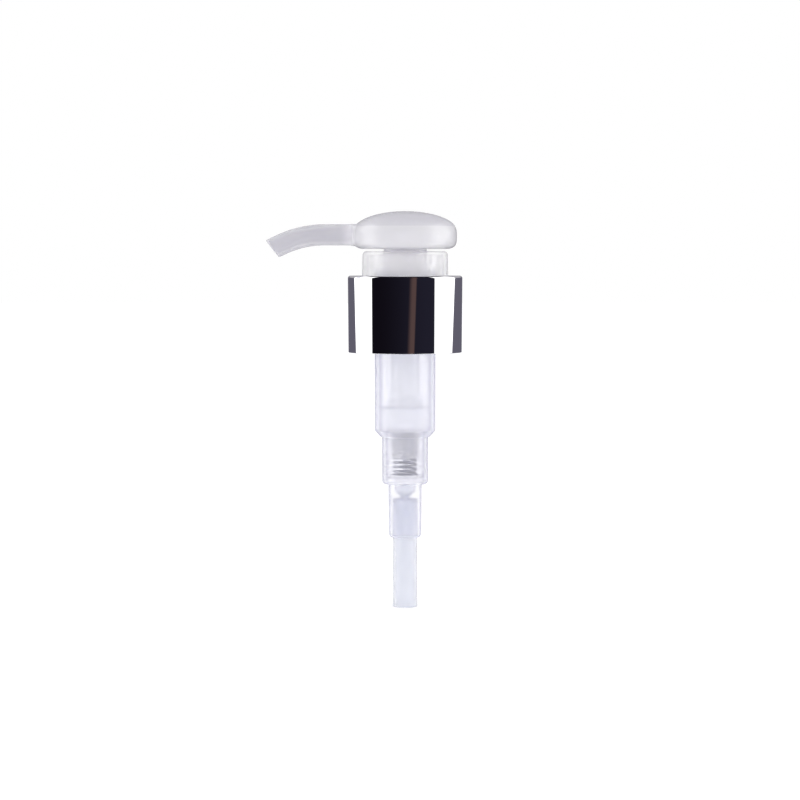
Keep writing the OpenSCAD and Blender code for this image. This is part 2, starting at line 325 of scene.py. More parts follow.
def head_cage_rings():
    """(r, z) of the control cage's rings, from just off the crown down to the rim's underside."""
    rings = [
        Vector((HEAD_R * math.cos(a), DOME_BASE + DOME_HIGH * math.sin(a)))
        for a in np.radians([83, 76, 68, 60, 52, 44, 35, 27, 18])
    ]
    rings += [Vector(p) for p in (
        (HEAD_R, DOME_BASE + 0.2),
        (HEAD_R, DOME_BASE - 1.4),
        (HEAD_R - 0.03, SIDE_LOW - 0.1),
        (HEAD_R - 0.4, HEAD_RIM + 0.85),
        (HEAD_R - 1.45, HEAD_RIM + 0.2),
        (HEAD_R - 2.3, HEAD_RIM),
        (RIM_IN_R - 1.0, HEAD_RIM),
        (NECK_R + 2, HEAD_RIM),
        (NECK_R / 2, HEAD_RIM),
    )]
    return rings


def head_outside():
    """The dome with the nozzle and its channel, as a subdivision surface cage."""
    bm = bmesh.new()
    rings = head_cage_rings()
    swell = cage_swell(CAGE_SIDES)
    columns = [
        [bm.verts.new((p.x * swell * math.cos(a), p.x * swell * math.sin(a), p.y)) for p in rings]
        for a in (2 * math.pi * k / CAGE_SIDES for k in range(CAGE_SIDES))
    ]
    crown = bm.verts.new((0, 0, HEAD_TOP))
    under = bm.verts.new((0, 0, HEAD_RIM))
    middle = CAGE_SIDES // 2
    inside = range(middle - PATCH_HALF, middle + PATCH_HALF)
    for k in range(CAGE_SIDES):
        here, there = columns[k], columns[(k + 1) % CAGE_SIDES]
        bm.faces.new((crown, here[0], there[0]))
        bm.faces.new((under, there[-1], here[-1]))
        for i in range(len(rings) - 1):
            if k in inside and PATCH_TOP <= i < PATCH_BOTTOM:
                continue
            bm.faces.new((here[i], here[i + 1], there[i + 1], there[i]))

    # the hole's edge, from the middle of its top, turning the way nozzle_ring does
    left, right = middle - PATCH_HALF, middle + PATCH_HALF
    edge = [columns[k][PATCH_TOP] for k in range(middle, left, -1)]
    edge += [columns[left][i] for i in range(PATCH_TOP, PATCH_BOTTOM)]
    edge += [columns[k][PATCH_BOTTOM] for k in range(left, right)]
    edge += [columns[right][i] for i in range(PATCH_BOTTOM, PATCH_TOP, -1)]
    edge += [columns[k][PATCH_TOP] for k in range(right, middle, -1)]

    # (distance along the nozzle, radius, slant): out along its outside, round the tip, back inside
    outer = NOZZLE_R * cage_swell(NOZZLE_SIDES)
    inner = CHANNEL_R * cage_swell(NOZZLE_SIDES)
    bent = np.linspace(NOZZLE_RUN, NOZZLE_END - 2.2, 7)
    stations = [(NOZZLE_ROOT, outer + 0.14, 0), (NOZZLE_ROOT + 0.7, outer + 0.01, 0)]
    stations += [(17, outer, 0), (20, outer, 0)]
    stations += [(s, outer, 0) for s in bent]
    stations += [(NOZZLE_END - 0.9, outer, TIP_SLANT), (NOZZLE_END - 0.25, outer, TIP_SLANT)]
    stations += [(NOZZLE_END, outer - 0.12, TIP_SLANT), (NOZZLE_END, outer - 0.5, TIP_SLANT)]
    stations += [(NOZZLE_END, inner + 0.3, TIP_SLANT), (NOZZLE_END - 0.1, inner + 0.02, TIP_SLANT)]
    stations += [(NOZZLE_END - 0.8, inner, TIP_SLANT)]
    stations += [(s, inner, 0) for s in bent[::-1]]
    stations += [(12, inner, 0), (1.5, inner, 0), (0.3, inner, 0)]
    loop = edge
    for s, radius, slant in stations:
        ring = [bm.verts.new(p) for p in nozzle_ring(s, radius, NOZZLE_SIDES, slant=slant)]
        for j in range(NOZZLE_SIDES):
            k = (j + 1) % NOZZLE_SIDES
            bm.faces.new((loop[j], loop[k], ring[k], ring[j]))
        loop = ring
    bm.faces.new(loop)
    loose = [v for v in bm.verts if not v.link_faces]
    bmesh.ops.delete(bm, geom=loose, context="VERTS")
    piece = finish_mesh("actuator_head_piece", bm, smooth_normals=False)
    subdivision = piece.modifiers.new("subdivision", "SUBSURF")
    subdivision.levels = subdivision.render_levels = CAGE_LEVELS
    return apply_modifiers(piece)


def off_lugs(angle):
    """The angle to the nearer of the two bayonet lugs."""
    return min(abs((angle - place + math.pi) % (2 * math.pi) - math.pi) for place in LUG_PLACES)


def lug_shift(angle, r, z):
    """Pushes the neck's wall out at the two bayonet lugs."""
    if r < NECK_R - 0.4 or not LUG_LOW < z < LUG_HIGH:
        return r
    return LUG_R if off_lugs(angle) < LUG_HALF else r


def head_piece():
    """Dome, rim, nozzle, hollow neck with lugs, and the socket for the stem."""
    piece = head_outside()
    socket_r = STEM_R + SOCKET_FIT
    hollow_r = NECK_R - 0.6         # the neck is put back over the hollow's middle
    neck = turned_bmesh(rounded([
        (0, HEAD_TOP - 3, 0),
        (NECK_R, HEAD_TOP - 3, 0),
        (NECK_R, LUG_HIGH + SHARP_STEP, 0),
        (NECK_R, LUG_HIGH - SHARP_STEP, 0),
        (NECK_R, LUG_LOW + SHARP_STEP, 0),
        (NECK_R, LUG_LOW - SHARP_STEP, 0),
        (NECK_R, NECK_LOW, 0.35),
        (socket_r, NECK_LOW, 0.3),
        (socket_r, SOCKET_TOP, 0),
        (STEM_BORE_R, SOCKET_TOP, 0),
        (STEM_BORE_R, NOZZLE_Z, 0),
        (0, NOZZLE_Z, 0),
    ]), shift=lug_shift)
    cavity = turned_bmesh(
        rounded([
            (hollow_r, HEAD_RIM - 1, 0),
            (RIM_IN_R, HEAD_RIM - 1, 0),
            (RIM_IN_R, HEAD_RIM + 0.6, 0.3),
            (HEAD_R - HEAD_WALL, SIDE_LOW, 0.6),
        ])
        + ellipse(DOME_BASE, HEAD_R - HEAD_WALL, DOME_HIGH - HEAD_WALL, 0, CEILING_AT, 6)
        + [Vector((hollow_r, CEILING_Z))]
    )
    cutter = finish_mesh("cavity", cavity, smooth_normals=False)
    bar = tube_bmesh([nozzle_ring(s, NOZZLE_R, 64) for s in (NECK_R - 2, 13.0, 15.5)])
    boolean(cutter, finish_mesh("bar", bar, smooth_normals=False), "DIFFERENCE")
    boolean(piece, cutter, "DIFFERENCE")
    core = turned_bmesh(rounded([
        (0, NECK_LOW - 1, 0),
        (socket_r, NECK_LOW - 1, 0),
        (socket_r, SOCKET_TOP, 0.2),
        (STEM_BORE_R, SOCKET_TOP, 0.2),
        (STEM_BORE_R, NOZZLE_Z, 0),
        (0, NOZZLE_Z, 0),
    ]))
    boolean(piece, finish_mesh("neck", neck, smooth_normals=False), "UNION")
    boolean(piece, finish_mesh("core", core, smooth_normals=False), "DIFFERENCE")
    return soften(piece)


# ---------------------------------------------------------------- turned pieces

NOTCH_R = 7.35
NOTCH_HALF = math.radians(19)
NECK_HOLE_R = 6.35
CHAPLET_WALL = 1.2
CHAPLET_PLATE = 1.1
CHAPLET_DRAFT = 0.17


def notch_shift(angle, r, z):
    """Opens the chaplet's top hole at the two bayonet notches."""
    if r > NECK_HOLE_R + 0.4 or z < CHAPLET_TOP - CHAPLET_PLATE - 0.1:
        return r
    return r + NOTCH_R - NECK_HOLE_R if off_lugs(angle) < NOTCH_HALF else r


def chaplet_piece():
    top, low = CHAPLET_TOP, CHAPLET_LOW.z
    plate = top - CHAPLET_PLATE
    skirt = SHELL_TOP - 0.3
    over_housing = HOUSING_HIGH.z + 0.05
    sleeve_r, sleeve_bore_r = BORE_R - 0.05, 6.4
    snap_r, snap_bore_r = 9.8, BARREL_R + 0.05
    cavity_r, cavity_low = 7.6, 7.2
    return turned("chaplet_piece", [
        (NECK_HOLE_R, plate, 0.1),
        (NECK_HOLE_R, top, 0.25),
        (CHAPLET_R - CHAPLET_DRAFT, top, 1.0),
        (CHAPLET_R, skirt, 0.15),
        (CHAPLET_R - CHAPLET_WALL, skirt, 0.15),
        (CHAPLET_R - CHAPLET_WALL - CHAPLET_DRAFT, plate, 0.5),
        (snap_r, plate, 0.3),
        (snap_r, skirt, 0.15),
        (snap_bore_r, skirt, 0.15),
        (snap_bore_r, over_housing, 0.1),
        (sleeve_r, over_housing, 0.1),
        (sleeve_r, low, 0.25),
        (STEM_R + GUIDE_FIT, low, 0.25),
        (STEM_R + GUIDE_FIT, low + 2.5, 0.3),
        (sleeve_bore_r, low + 4.0, 0.3),
        (sleeve_bore_r, cavity_low, 0.1),
        (cavity_r, cavity_low, 0.1),
        (cavity_r, plate, 0.3),
    ], segments=144, shift=notch_shift)


VENT_R = 0.6
VENT_Z = -15.5
VENT_DRILL = (6.5, 9.5)     # where the drill for the vent hole starts and ends along Y


def housing_piece():
    top, low = HOUSING_HIGH.z, HOUSING_LOW.z
    step1, step2 = -41.7, -55.2
    socket_r, socket_top = TUBE_R + TUBE_FIT, -59.58
    port_r, port_top = 1.2, socket_top + 0.6
    chamber_r, chamber_low, chamber_top = 2.9, port_top + 1.7, -54.3
    piece = turned("housing_piece", [
        (BORE_R, top, 0.15),
        (BARREL_R, top, 0.3),
        (BARREL_R, FLANGE_TOP, 0.3),
        (FLANGE_R, FLANGE_TOP, 0.25),
        (FLANGE_R, GASKET_TOP, 0.2),
        (BARREL_R, GASKET_TOP, 0.05),
        (BARREL_R - 0.1, step1 + 1.75, 0.6),
        (7.0, step1, 0.25),
        (6.56, step1, 0.12),
        (6.5, step2, 1.6),
        (4.72, step2, 0.15),
        (4.6, low + 0.7, 0.5),
        (4.05, low, 0.25),
        (socket_r, low, 0.1),
        (socket_r, socket_top, 0),
        (port_r, socket_top, 0.1),
        (port_r, port_top, 0.2),
        (chamber_r, chamber_low, 0.3),
        (chamber_r, chamber_top, 0.15),
        (LOWER_BORE_R, chamber_top, 0.3),
        (LOWER_BORE_R, BARREL_FLOOR - 1.7, 0.4),
        (BORE_R, BARREL_FLOOR, 0.6),
    ])
    apply_modifiers(piece)
    round_hole = np.radians(range(0, 360, 15))
    drill = tube_bmesh([
        [(VENT_R * math.cos(a), y, VENT_Z + VENT_R * math.sin(a)) for a in round_hole]
        for y in VENT_DRILL
    ])
    boolean(piece, finish_mesh("vent", drill, smooth_normals=False), "DIFFERENCE")
    return soften(piece)


def dip_tube_piece():
    top, low = TUBE_HIGH.z, TUBE_LOW.z
    bore_r = 2.7
    return turned("dip_tube_piece", [
        (TUBE_R, top, 0.1),
        (TUBE_R, low, 0.07),
        (bore_r, low, 0.07),
        (bore_r, top, 0.1),
    ], segments=96)


def metal_shell_piece():
    top, low = SHELL_TOP, SHELL_LOW.z
    hole = CHAPLET_R + SHELL_FIT
    mouth = SHELL_R - CLOSURE_DRAFT
    return turned("metal_shell_piece", [
        (hole, top - SHELL_WALL, 0.1),
        (hole, top, 0.12),
        (SHELL_R, top, 0.75),
        (mouth, low, 0.12),
        (mouth - SHELL_WALL, low, 0.12),
        (SHELL_R - SHELL_WALL, top - SHELL_WALL, 0.1),
    ], segments=192)


def gasket_piece():
    top, low = GASKET_HIGH.z, GASKET_LOW.z
    outer = GASKET_HIGH.x
    return turned("gasket_piece", [
        (GASKET_HOLE_R, top, 0.12),
        (outer, top, 0.2),
        (outer, low, 0.2),
        (GASKET_HOLE_R, low, 0.12),
    ], segments=96)


def stem_piece():
    top, low = STEM_HIGH.z, STEM_LOW.z
    shoulder = -30.0
    piece = turned("stem_piece", [
        (STEM_BORE_R, top, 0.1),
        (STEM_R, top, 0.35),
        (STEM_R, shoulder, 0.15),
        (STEM_NECK_R, shoulder, 0.15),
        (STEM_NECK_R, low, 0.1),
        (STEM_BORE_R, low, 0.1),
    ], segments=96)
    apply_modifiers(piece)
    slot_length, slot_w, slot_h = 9, 1.6, 3.6
    for turn in (0, math.pi / 2):
        bm = bmesh.new()
        bmesh.ops.create_cube(bm, size=1)
        bmesh.ops.scale(bm, vec=(slot_length, slot_w, slot_h), verts=bm.verts)
        bmesh.ops.translate(bm, vec=(0, 0, low - 1 + slot_h / 2), verts=bm.verts)
        bmesh.ops.rotate(bm, cent=(0, 0, 0), matrix=Matrix.Rotation(turn, 3, "Z"), verts=bm.verts)
        boolean(piece, finish_mesh("slot", bm, smooth_normals=False), "DIFFERENCE")
    return soften(piece)


def piston_piece():
    top, low = -33.3, -39.2
    hub_top, hub_low = PISTON_HIGH.z, PISTON_LOW.z
    hub_r, wide_bore_r, neck_bore_r = 5.0, 4.2, STEM_NECK_R + 0.05
    web_high, web_low = (top + low) / 2 + 0.6, (top + low) / 2 - 0.6
    skirt_r, land_r = 6.4, BORE_R - 0.2
    lip_r, lip_inside_r = BORE_R - 0.03, BORE_R - 0.33
    return turned("piston_piece", [
        (wide_bore_r, hub_low, 0.1),
        (wide_bore_r, -33.4, 0.15),
        (neck_bore_r, -33.0, 0.1),
        (neck_bore_r, hub_top, 0.1),
        (hub_r, hub_top, 0.35),
        (hub_r, web_high, 0.3),
        (skirt_r, web_high, 0.3),
        (skirt_r, top - 0.4, 0.1),
        (lip_inside_r, top, 0.08),
        (lip_r, top - 0.2, 0.08),
        (land_r, top - 1.5, 0.2),
        (land_r, low + 1.5, 0.2),
        (lip_r, low + 0.2, 0.08),
        (lip_inside_r, low, 0.08),
        (skirt_r, low + 0.4, 0.1),
        (skirt_r, web_low, 0.3),
        (hub_r, web_low, 0.3),
        (hub_r, hub_low, 0.1),
    ])


# ---------------------------------------------------------------- closure cap and spring

THREAD_PITCH = 4.23
THREAD_TURNS = 1.5
THREAD_TOP = -3.6
THREAD_STEPS = 72       # rings in each turn of thread
THREAD_FADE = math.radians(40)
THREAD_ROOT_R, THREAD_CREST_R = 14.0, 12.8
THREAD_EMBED = 0.2      # how far the thread's foot goes into the wall


def closure_cap_piece():
    top, low = CAP_HIGH.z, CAP_LOW.z
    outer = CAP_HIGH.x
    root, crest = THREAD_ROOT_R, THREAD_CREST_R
    cap = turned("closure_cap_piece", [
        (PLATE_HOLE_R, top, 0.15),
        (outer, top, 0.4),
        (outer - CLOSURE_DRAFT, low, 0.3),
        (root + 0.3, low, 0.3),
        (root, low + 0.6, 0.2),
        (root, PLATE_LOW, 0.4),
        (PLATE_HOLE_R, PLATE_LOW, 0.15),
    ])
    count = round(THREAD_TURNS * THREAD_STEPS)
    end = 2 * math.pi * THREAD_TURNS
    rings = []
    for i in range(count + 1):
        angle = end * i / count
        full = min(1.0, angle / THREAD_FADE, (end - angle) / THREAD_FADE)
        full = full * full * (3 - 2 * full)
        tip = root + 0.1 - (root + 0.1 - crest) * full
        z = THREAD_TOP - THREAD_PITCH * (THREAD_TURNS - angle / (2 * math.pi))
        half = [(root + THREAD_EMBED, 1.2), (tip + 0.15, 0.72), (tip, 0.5)]
        shape = half + [(r, -dz) for r, dz in reversed(half)]
        rings.append([(r * math.cos(angle), r * math.sin(angle), z + dz) for r, dz in shape])
    thread = finish_mesh("thread", tube_bmesh(rings))
    for part in (cap, thread):
        apply_modifiers(part)
    boolean(cap, thread, "UNION")
    return soften(cap)


SPRING_TURNS = 8.25     # active turns, with one closed turn more at each end
WIRE_D = 0.7
SPRING_STILL = 0.7      # turns at each end that stay on their seat
COIL_STEPS = 40         # rings in each turn of wire
WIRE_SIDES = 14


def spring_piece():
    """The coil as a round wire. Returns it with the share of its length that each point is at."""
    coil = (SPRING_HIGH.x - SPRING_LOW.x - WIRE_D) / 2
    wire = WIRE_D / 2
    low, high = SPRING_LOW.z + wire, SPRING_HIGH.z - wire
    closed = WIRE_D + 0.02      # rise of a closed turn
    pitch = (high - low - 2 * closed) / SPRING_TURNS
    turns = SPRING_TURNS + 2
    rings, shares = [], []
    for i in range(round(turns * COIL_STEPS) + 1):
        t = i / COIL_STEPS
        active = max(0, min(t - 1, SPRING_TURNS))
        rise = closed * min(t, 1) + pitch * active + closed * max(0, t - 1 - SPRING_TURNS)
        angle = 2 * math.pi * t
        out = Vector((math.cos(angle), math.sin(angle), 0))
        end = min(t, turns - t)
        radius = wire * min(1.0, 0.75 + 2 * end)
        centre = out * coil + Vector((0, 0, low + rise))
        rings.append([
            centre + (out * math.cos(b) + Vector((0, 0, math.sin(b)))) * radius
            for b in (-2 * math.pi * j / WIRE_SIDES for j in range(WIRE_SIDES))
        ])
        share = (t - SPRING_STILL) / (turns - 2 * SPRING_STILL)
        shares += [min(1.0, max(0.0, share))] * WIRE_SIDES
    return finish_mesh("spring_piece", tube_bmesh(rings), smooth_normals=False), shares


# ---------------------------------------------------------------- material tools


class Nodes:
    """A material's or world's node tree, with short calls to add and link nodes."""

    def __init__(self, tree):
        self.tree = tree
        tree.nodes.clear()

    def add(self, kind, **settings):
        node = self.tree.nodes.new(kind)
        for name, value in settings.items():
            setattr(node, name, value)
        return node

    def link(self, source, target):
        self.tree.links.new(source, target)

    def put(self, value, socket):
        """Links value to the socket if it is a socket, and else sets it there."""
        if isinstance(value, bpy.types.NodeSocket):
            self.link(value, socket)
        else:
            socket.default_value = value

    def math(self, operation, *values):
        node = self.add("ShaderNodeMath", operation=operation)
        for value, socket in zip(values, node.inputs):
            self.put(value, socket)
        return node.outputs[0]

    def noise(self, where, scale, detail=3.0):
        node = self.add("ShaderNodeTexNoise")
        self.link(where, node.inputs["Vector"])
        node.inputs["Scale"].default_value = scale
        node.inputs["Detail"].default_value = detail
        return node.outputs["Fac"]

    def map_range(self, value, start, end, low=0.0, high=1.0, kind="LINEAR"):
        """value from start to end, mapped to low to high."""
        node = self.add("ShaderNodeMapRange", interpolation_type=kind)
        self.link(value, node.inputs["Value"])
        for name, number in (("From Min", start), ("From Max", end), ("To Min", low), ("To Max", high)):
            node.inputs[name].default_value = number
        return node.outputs["Result"]

    def spread(self, value, low, high):
        """value from 0.2 to 0.8, where a noise lies, spread from low to high."""
        return self.map_range(value, 0.2, 0.8, low, high)

    def ease(self, value, start, end, low=0.0, high=1.0):
        """The same with a soft start and end."""
        return self.map_range(value, start, end, low, high, kind="SMOOTHSTEP")

    def split(self, vector):
        node = self.add("ShaderNodeSeparateXYZ")
        self.link(vector, node.inputs[0])
        return node.outputs

    def mix(self, factor, a, b):
        node = self.add("ShaderNodeMix", data_type="RGBA")
        for value, name in ((factor, "Factor"), (a, "A"), (b, "B")):
            self.put(value, node.inputs[name])
        return node.outputs["Result"]

    def mottled(self, pattern, dark, light):
        """A colour that wanders from dark to light with a noise."""
        return self.mix(self.spread(pattern, 0, 1), (*dark, 1), (*light, 1))

    def where(self, space="Object"):
        return self.add("ShaderNodeTexCoord").outputs[space]

    def stretched(self, scale=(1, 1, 1)):
        """Object coordinates, scaled apart along the axes."""
        mapping = self.add("ShaderNodeMapping")
        self.link(self.where(), mapping.inputs["Vector"])
        mapping.inputs["Scale"].default_value = scale
        return mapping.outputs["Vector"]

    def bump(self, height, strength, distance):
        node = self.add("ShaderNodeBump")
        self.link(height, node.inputs["Height"])
        node.inputs["Strength"].default_value = strength
        node.inputs["Distance"].default_value = distance
        return node.outputs["Normal"]


def set_inputs(shader, **values):
    """Sets sockets by name, with _ for a space."""
    for name, value in values.items():
        shader.inputs[name.replace("_", " ")].default_value = value


def principled(name):
    material = bpy.data.materials.new(name)
    material.use_nodes = True
    nodes = Nodes(material.node_tree)
    shader = nodes.add("ShaderNodeBsdfPrincipled")
    output = nodes.add("ShaderNodeOutputMaterial")
    nodes.link(shader.outputs[0], output.inputs["Surface"])
    return material, nodes, shader


PLASTIC_IOR = 1.49


def natural_plastic(name, light, dark, roughness, opacity, flow=(1, 1, 0.25), milk=0.003,
                    coat=0.0, painted_shade_zone=None, edge=None, painted_glow=0.0):
    """Unpigmented polypropylene or polyethylene: milky, with faint flow lines in it.

    A thin wall is clear at opacity where it is seen straight on, and as dense as edge along it.
    The painted shade zone is a second colour blended in as shade, the piece's axis it comes in along,
    and where it starts and is full.
    milk is how far light wanders in the plastic, in metres. The glow is painted light: a faint emission
    for the light the milky plastic carries into shaded places.
    """
    material, nodes, shader = principled(name)
    colour = nodes.mottled(nodes.noise(nodes.stretched(flow), 120), dark, light)
    # painted shade: a second colour blended in along one axis of the piece
    if painted_shade_zone:
        painted_tint, axis, start, full = painted_shade_zone
        along = nodes.split(nodes.where())[axis]
        colour = nodes.mix(nodes.ease(along, start * MM, full * MM), colour, (*painted_tint, 1))
    nodes.link(colour, shader.inputs["Base Color"])
    fine = nodes.noise(nodes.stretched(flow), 500)
    nodes.link(nodes.spread(fine, roughness * 0.9, roughness * 1.12), shader.inputs["Roughness"])
    nodes.link(nodes.bump(fine, 0.2, 0.000001), shader.inputs["Normal"])
    # the emission is painted light: a faint glow where the plastic sits in shade
    set_inputs(
        shader, IOR=PLASTIC_IOR, Alpha=opacity, Transmission_Weight=0.1,
        Subsurface_Weight=1.0, Subsurface_Radius=(1.0, 1.0, 1.05), Subsurface_Scale=milk,
        Emission_Color=(1.0, 0.99, 1.0, 1.0), Emission_Strength=painted_glow, Specular_IOR_Level=0.2,
        Coat_Weight=coat, Coat_IOR=1.6, Coat_Roughness=0.05)
    if edge:
        facing = nodes.add("ShaderNodeLayerWeight")
        set_inputs(facing, Blend=0.5)
        density = nodes.ease(facing.outputs["Facing"], 0.35, 0.9, opacity, edge)
        nodes.link(density, shader.inputs["Alpha"])
    return material


def solid_plastic(name, light, dark, roughness):
    """White moulded plastic with a fine satin texture."""
    material, nodes, shader = principled(name)
    cloud = nodes.noise(nodes.stretched((1, 1, 0.5)), 220)
    nodes.link(nodes.mottled(cloud, dark, light), shader.inputs["Base Color"])
    fine = nodes.noise(nodes.stretched(), 2500, detail=4)
    nodes.link(nodes.spread(fine, roughness * 0.85, roughness * 1.25), shader.inputs["Roughness"])
    nodes.link(nodes.bump(fine, 0.15, 0.00002), shader.inputs["Normal"])
    set_inputs(shader, IOR=PLASTIC_IOR, Subsurface_Weight=0.3, Subsurface_Radius=(1.0, 1.0, 1.0),
               Subsurface_Scale=0.001)
    return material


def mirror_metal():
    """Bright anodised aluminium: a mirror with faint polishing lines round the shell."""
    material, nodes, shader = principled("mirror_aluminium")
    lines = nodes.noise(nodes.stretched((0.15, 0.15, 60)), 90)
    haze = nodes.noise(nodes.stretched(), 60, detail=4)
    both = nodes.math("ADD", nodes.spread(lines, 0.006, 0.02), nodes.spread(haze, 0.0, 0.025))
    nodes.link(both, shader.inputs["Roughness"])
    colour = nodes.mottled(haze, (0.90, 0.90, 0.91), (0.94, 0.94, 0.945))
    nodes.link(colour, shader.inputs["Base Color"])
    set_inputs(shader, Metallic=1.0)
    return material


def steel_wire():
    """Drawn stainless wire with lines along its length."""
    material, nodes, shader = principled("stainless_wire")
    grain = nodes.noise(nodes.stretched((1, 1, 4)), 1500)
    nodes.link(nodes.mottled(grain, (0.34, 0.34, 0.36), (0.5, 0.5, 0.52)), shader.inputs["Base Color"])
    nodes.link(nodes.spread(grain, 0.22, 0.36), shader.inputs["Roughness"])
    nodes.link(nodes.bump(grain, 0.2, 0.00001), shader.inputs["Normal"])
    set_inputs(shader, Metallic=0.7)
    return material


def glass_ball():
    """Clear soda glass, ground round, with a faint frost."""
    material, nodes, shader = principled("glass_ball")
    frost = nodes.noise(nodes.stretched(), 900)
    nodes.link(nodes.mottled(frost, (0.90, 0.93, 0.97), (0.95, 0.97, 1.0)), shader.inputs["Base Color"])
    nodes.link(nodes.spread(frost, 0.05, 0.2), shader.inputs["Roughness"])
    set_inputs(shader, IOR=1.52, Transmission_Weight=0.9)
    return material


# ---------------------------------------------------------------- materials and pieces

# the head's thick top over its hollow is painted darker than the wall round it: painted shade, where
# less light comes through
HEAD_PLASTIC = natural_plastic(
    "head_plastic", (0.91, 0.90, 0.94), (0.87, 0.86, 0.90), 0.3, 0.75, coat=1.0,
    painted_shade_zone=((0.77, 0.76, 0.81), "Z", CEILING_Z - 0.1, CEILING_Z + 0.3))
# the nozzle is painted darker than the head away from its root: painted shade, though it is the head's
# own plastic
NOZZLE_PLASTIC = natural_plastic(
    "nozzle_plastic", (0.72, 0.71, 0.75), (0.68, 0.67, 0.71), 0.3, 0.6, coat=0.4, milk=0.001,
    painted_shade_zone=((0.90, 0.89, 0.93), "X", -NOZZLE_ROOT - 4, -NOZZLE_ROOT))
# the neck and the chaplet glow faintly: painted light that brightens them where they sit in shade under
# the head
NECK_PLASTIC = natural_plastic(
    "neck_plastic", (0.91, 0.90, 0.94), (0.88, 0.87, 0.91), 0.3, 0.6, milk=0.001, painted_glow=0.08)
CHAPLET_PLASTIC = natural_plastic(
    "chaplet_plastic", (0.97, 0.96, 0.98), (0.94, 0.93, 0.95), 0.3, 0.17, edge=0.55, coat=0.8,
    milk=0.001, painted_glow=0.08)
HOUSING_PLASTIC = natural_plastic(
    "housing_plastic", (0.80, 0.80, 0.90), (0.76, 0.76, 0.86), 0.2, 0.17, edge=0.8, milk=0.001)
TUBE_PLASTIC = natural_plastic(
    "tube_plastic", (0.76, 0.78, 0.86), (0.73, 0.75, 0.84), 0.2, 0.38, coat=0.5, flow=(1, 1, 0.03))
PLUG_PLASTIC = natural_plastic(
    "plug_plastic", (0.94, 0.93, 0.98), (0.90, 0.89, 0.94), 0.3, 0.4, milk=0.001)
WHITE_PLASTIC = solid_plastic("white_plastic", (0.97, 0.97, 0.98), (0.94, 0.94, 0.95), 0.35)
PISTON_PLASTIC = solid_plastic("piston_plastic", (0.96, 0.96, 0.97), (0.93, 0.93, 0.94), 0.5)
GASKET_FOAM = solid_plastic("gasket_foam", (0.94, 0.94, 0.93), (0.88, 0.88, 0.87), 0.75)
SHELL_METAL = mirror_metal()
SPRING_STEEL = steel_wire()
BALL_GLASS = glass_ball()


def place(piece, node, body, material, slot):
    """Gives a new piece its material, hides its CAD node and hangs the piece, where it stands, on a
    body if one is given; slot is not used.
    """
    piece.data.materials.clear()
    piece.data.materials.append(material)
    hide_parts(node)
    if body:
        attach(piece, body)
    return piece


NOZZLE_INDEX, NECK_INDEX = 1, 2     # places in the head's list of materials
CHANNEL_FROM = 11.0                 # where the channel's wall starts to get the nozzle's painted shade


def paint_head(head):
    """Gives the nozzle and its channel the darker plastic painted as shade, and the neck below the rim
    its plastic with a painted glow.
    """
    head.data.materials.append(NOZZLE_PLASTIC)
    head.data.materials.append(NECK_PLASTIC)
    for face in head.data.polygons:
        x, y, z = face.center / MM
        in_channel = x < -CHANNEL_FROM and math.hypot(y, z - NOZZLE_Z) < CHANNEL_R + 0.1
        if x < -NOZZLE_ROOT or in_channel:
            face.material_index = NOZZLE_INDEX
        elif z < HEAD_RIM + 0.05 and math.hypot(x, y) < LUG_R + 0.1:
            face.material_index = NECK_INDEX


head = place(head_piece(), "actuator_head", "head", HEAD_PLASTIC, "head_pp")
paint_head(head)
place(stem_piece(), "stem", "head", WHITE_PLASTIC, "white_pp")
place(piston_piece(), "piston", "piston", PISTON_PLASTIC, "piston_pe")
place(chaplet_piece(), "chaplet", "housing", CHAPLET_PLASTIC, "chaplet_pp")
place(housing_piece(), "housing", "housing", HOUSING_PLASTIC, "housing_pp")
place(dip_tube_piece(), "dip_tube", "housing", TUBE_PLASTIC, "tube_pe")
place(gasket_piece(), "gasket", "housing", GASKET_FOAM, "gasket_foam")
place(closure_cap_piece(), "closure_cap", "closure", WHITE_PLASTIC, "closure_pp")
place(metal_shell_piece(), "metal_shell", "closure", SHELL_METAL, "shell_metal")

spring, spring_shares = spring_piece()
place(spring, "spring", None, SPRING_STEEL, "spring_steel")
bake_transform(spring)

for node, material in (("valve_plug", PLUG_PLASTIC), ("ball_retainer", WHITE_PLASTIC),
                       ("inlet_ball", BALL_GLASS)):
    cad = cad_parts[node]
    cad.data.materials.clear()
    cad.data.materials.append(material)

# ---------------------------------------------------------------- studio

FLOOR_Z = TUBE_LOW.z - 0.02
FLOOR_SIZE = 6000


def studio_floor():
    bm = bmesh.new()
    bmesh.ops.create_grid(bm, x_segments=2, y_segments=2, size=FLOOR_SIZE)
    bmesh.ops.translate(bm, vec=(0, 0, FLOOR_Z), verts=bm.verts)
    floor = finish_mesh("studio_floor", bm, smooth_normals=False)
    material, nodes, shader = principled("floor_paint")
    paint = nodes.noise(nodes.stretched(), 30, detail=2)
    colour = nodes.mottled(paint, (0.96, 0.96, 0.96), (0.98, 0.98, 0.98))
    nodes.link(colour, shader.inputs["Base Color"])
    set_inputs(shader, Roughness=0.9, Specular_IOR_Level=0.0, Emission_Color=(1.0, 1.0, 1.0, 1.0),
               Emission_Strength=0.15)
    floor.data.materials.append(material)
    floor.visible_glossy = False


# the cards' upright edges, degrees round the pump from the camera's side, with the nozzle at -90
BLACK_FROM, BLACK_TO = -71, 62
WHITE_LEFT_FROM, WHITE_RIGHT_TO = -125, 121
STREAK_FROM, STREAK_TO = 14, 25
# how many degrees an edge leans for each degree below the horizon, which goes down to LEAN_LOW
WHITE_LEFT_LEAN, WHITE_RIGHT_LEAN, STREAK_LEAN = -2.5, 4.0, 2.3
LEAN_LOW = -4.0
CARD_SOFT = 1.5
CARDS_TOP = 47          # degrees above the horizon
# a world ray's depth is one more than the number of bounces it comes after
FIRST_BOUNCE = 2.5


